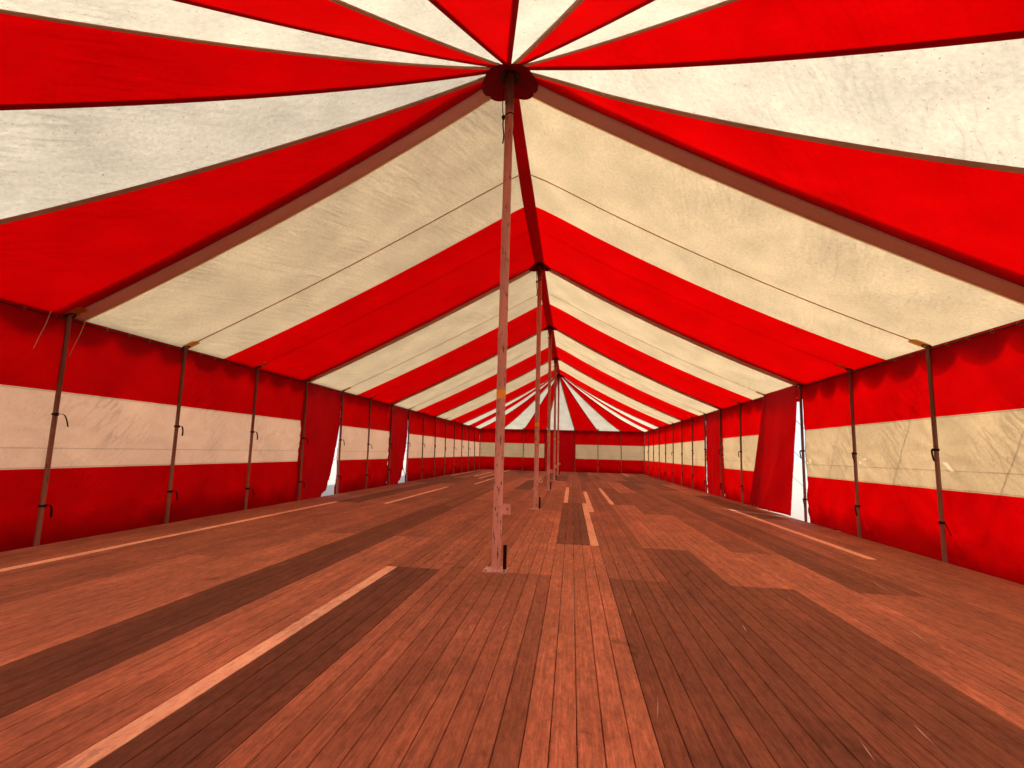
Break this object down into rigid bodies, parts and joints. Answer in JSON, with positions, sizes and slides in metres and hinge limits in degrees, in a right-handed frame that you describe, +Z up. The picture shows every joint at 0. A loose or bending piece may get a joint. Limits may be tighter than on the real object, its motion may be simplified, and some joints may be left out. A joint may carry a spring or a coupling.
{
  "type": "circus big top tent",
  "caption": "Long circus marquee with a ridge on king poles, hipped ends, striped canvas roof and walls, guy ropes and a board floor.",
  "frame": {"origin": "on the ground under the middle of the plan", "axes": "+Z up, +Y along the ridge from the near end to the far end, +X to the right seen from the near end"},
  "size_m": [15.0298, 35.0306, 5.328],
  "materials": {
    "roof_canvas": "matte",
    "wall_canvas": "matte",
    "valance_canvas": "matte",
    "ridge_canvas": "matte",
    "king_pole_paint": "satin",
    "side_pole_steel": "satin",
    "guy_rope": "matte",
    "deck_boards": "worn"
  },
  "bodies": {
    "root": {"door_far": "wall_canvas", "door_left_1": "wall_canvas", "door_left_2": "wall_canvas", "door_near": "wall_canvas", "door_right_1": "wall_canvas", "door_right_2": "wall_canvas", "floor_far": "deck_boards", "floor_middle": "deck_boards", "floor_near": "deck_boards", "guy_ropes_far_left": "guy_rope", "guy_ropes_far_right": "guy_rope", "guy_ropes_left_far": "guy_rope", "guy_ropes_left_middle": "guy_rope", "guy_ropes_left_near": "guy_rope", "guy_ropes_near_left": "guy_rope", "guy_ropes_near_right": "guy_rope", "guy_ropes_right_far": "guy_rope", "guy_ropes_right_middle": "guy_rope", "guy_ropes_right_near": "guy_rope", "king_pole_1": "king_pole_paint", "king_pole_2": "king_pole_paint", "king_pole_3": "king_pole_paint", "king_pole_4": "king_pole_paint", "king_pole_5": "king_pole_paint", "ridge_band": "ridge_canvas", "roof_bay_1": "roof_canvas", "roof_bay_2": "roof_canvas", "roof_bay_3": "roof_canvas", "roof_bay_4": "roof_canvas", "roof_end_far": "roof_canvas", "roof_end_near": "roof_canvas", "side_poles_far_left": "side_pole_steel", "side_poles_far_right": "side_pole_steel", "side_poles_left_far": "side_pole_steel", "side_poles_left_middle": "side_pole_steel", "side_poles_left_near": "side_pole_steel", "side_poles_near_left": "side_pole_steel", "side_poles_near_right": "side_pole_steel", "side_poles_right_far": "side_pole_steel", "side_poles_right_middle": "side_pole_steel", "side_poles_right_near": "side_pole_steel", "valance_far": "valance_canvas", "valance_left": "valance_canvas", "valance_near": "valance_canvas", "valance_right": "valance_canvas", "wall_far_left": "wall_canvas", "wall_far_right": "wall_canvas", "wall_left_far": "wall_canvas", "wall_left_middle": "wall_canvas", "wall_left_near": "wall_canvas", "wall_near_left": "wall_canvas", "wall_near_right": "wall_canvas", "wall_right_far": "wall_canvas", "wall_right_middle": "wall_canvas", "wall_right_near": "wall_canvas"}
  },
  "joints": []
}
